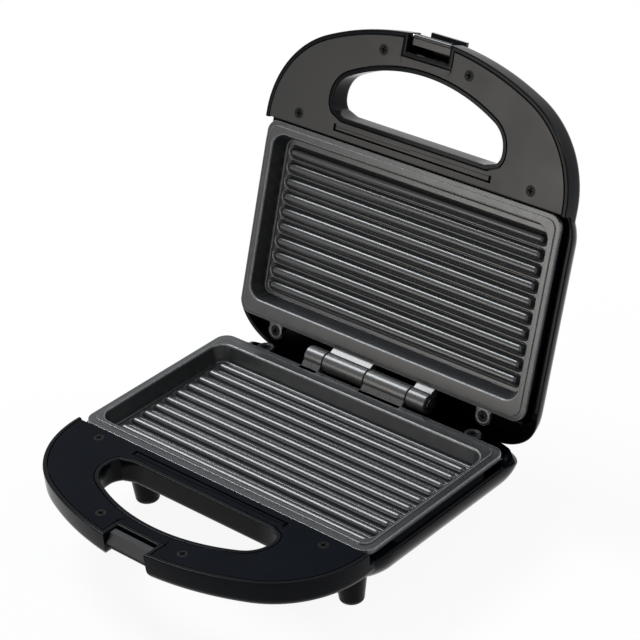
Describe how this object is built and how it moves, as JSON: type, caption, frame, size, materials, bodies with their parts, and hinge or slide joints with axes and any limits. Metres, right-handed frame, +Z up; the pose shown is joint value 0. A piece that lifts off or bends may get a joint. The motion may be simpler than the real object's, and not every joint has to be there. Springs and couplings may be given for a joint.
{
  "type": "sandwich toaster",
  "caption": "Clamshell sandwich toaster with ribbed non-stick plates, open loop handles, rear hinge and swing latch clip.",
  "frame": {"origin": "centre of the bounding box at the bottom of the feet, with the lid open", "axes": "+Z up, +Y from the handles to the hinge, +X to the right seen from the handles"},
  "size_m": [0.231, 0.2971, 0.2551],
  "materials": {
    "housing": "glossy black moulding",
    "cover": "satin dark grey",
    "nonstick_casting": "cast, dark grey non-stick coating with fine speckle",
    "element_steel": "heat-dulled tube",
    "reflector_sheet": "bright sheet",
    "black_screw": "blackened steel",
    "plated_steel": "zinc plated",
    "sole_rubber": "matt black",
    "gland_rubber": "matt black",
    "ceramic": "off-white, heat resistant",
    "catch": "satin grey-brown",
    "clip": "glossy black",
    "lens_red": "clear red",
    "lens_green": "clear green",
    "lamp_glass": "small neon lamp"
  },
  "bodies": {
    "base": {"base_housing": "housing", "base_handle_cover": "cover", "base_heat_plate": "nonstick_casting", "base_heating_element": "element_steel", "base_reflector": "reflector_sheet", "base_reflector_screws": "plated_steel", "base_cover_screws": "black_screw", "base_lug_screws": "black_screw", "thermal_fuse": "ceramic", "fuse_clip": "reflector_sheet", "fuse_screws": "plated_steel", "terminal_block": "ceramic", "terminal_screws": "plated_steel", "cord_gland": "gland_rubber", "cord_clamp": "ceramic", "cord_clamp_screws": "plated_steel", "sole_front_left": "sole_rubber", "sole_front_right": "sole_rubber", "sole_rear_left": "sole_rubber", "sole_rear_right": "sole_rubber", "hinge_pin": "plated_steel", "hinge_clips": "plated_steel", "latch_catch": "catch"},
    "lid": {"lid_housing": "housing", "lid_handle_cover": "cover", "lid_heat_plate": "nonstick_casting", "lid_heating_element": "element_steel", "lid_reflector": "reflector_sheet", "lid_reflector_screws": "plated_steel", "lid_cover_screws": "black_screw", "lid_lug_screws": "black_screw", "thermostat": "ceramic", "thermostat_screws": "plated_steel", "power_lens": "lens_red", "ready_lens": "lens_green", "lamp_holder": "ceramic", "power_lamp": "lamp_glass", "ready_lamp": "lamp_glass", "latch_pin": "plated_steel"},
    "latch": {"latch_clip": "clip"}
  },
  "joints": [
    {"name": "lid_hinge", "type": "hinge", "parent": "base", "child": "lid", "pos_m": [0, 0.06011, 0.0575], "axis": [1, 0, 0], "range_deg": [0, 107.9]},
    {"name": "latch_swing", "type": "hinge", "parent": "lid", "child": "latch", "pos_m": [0, 0.12888, 0.2525], "axis": [1, 0, 0], "range_deg": [0, 180]}
  ]
}
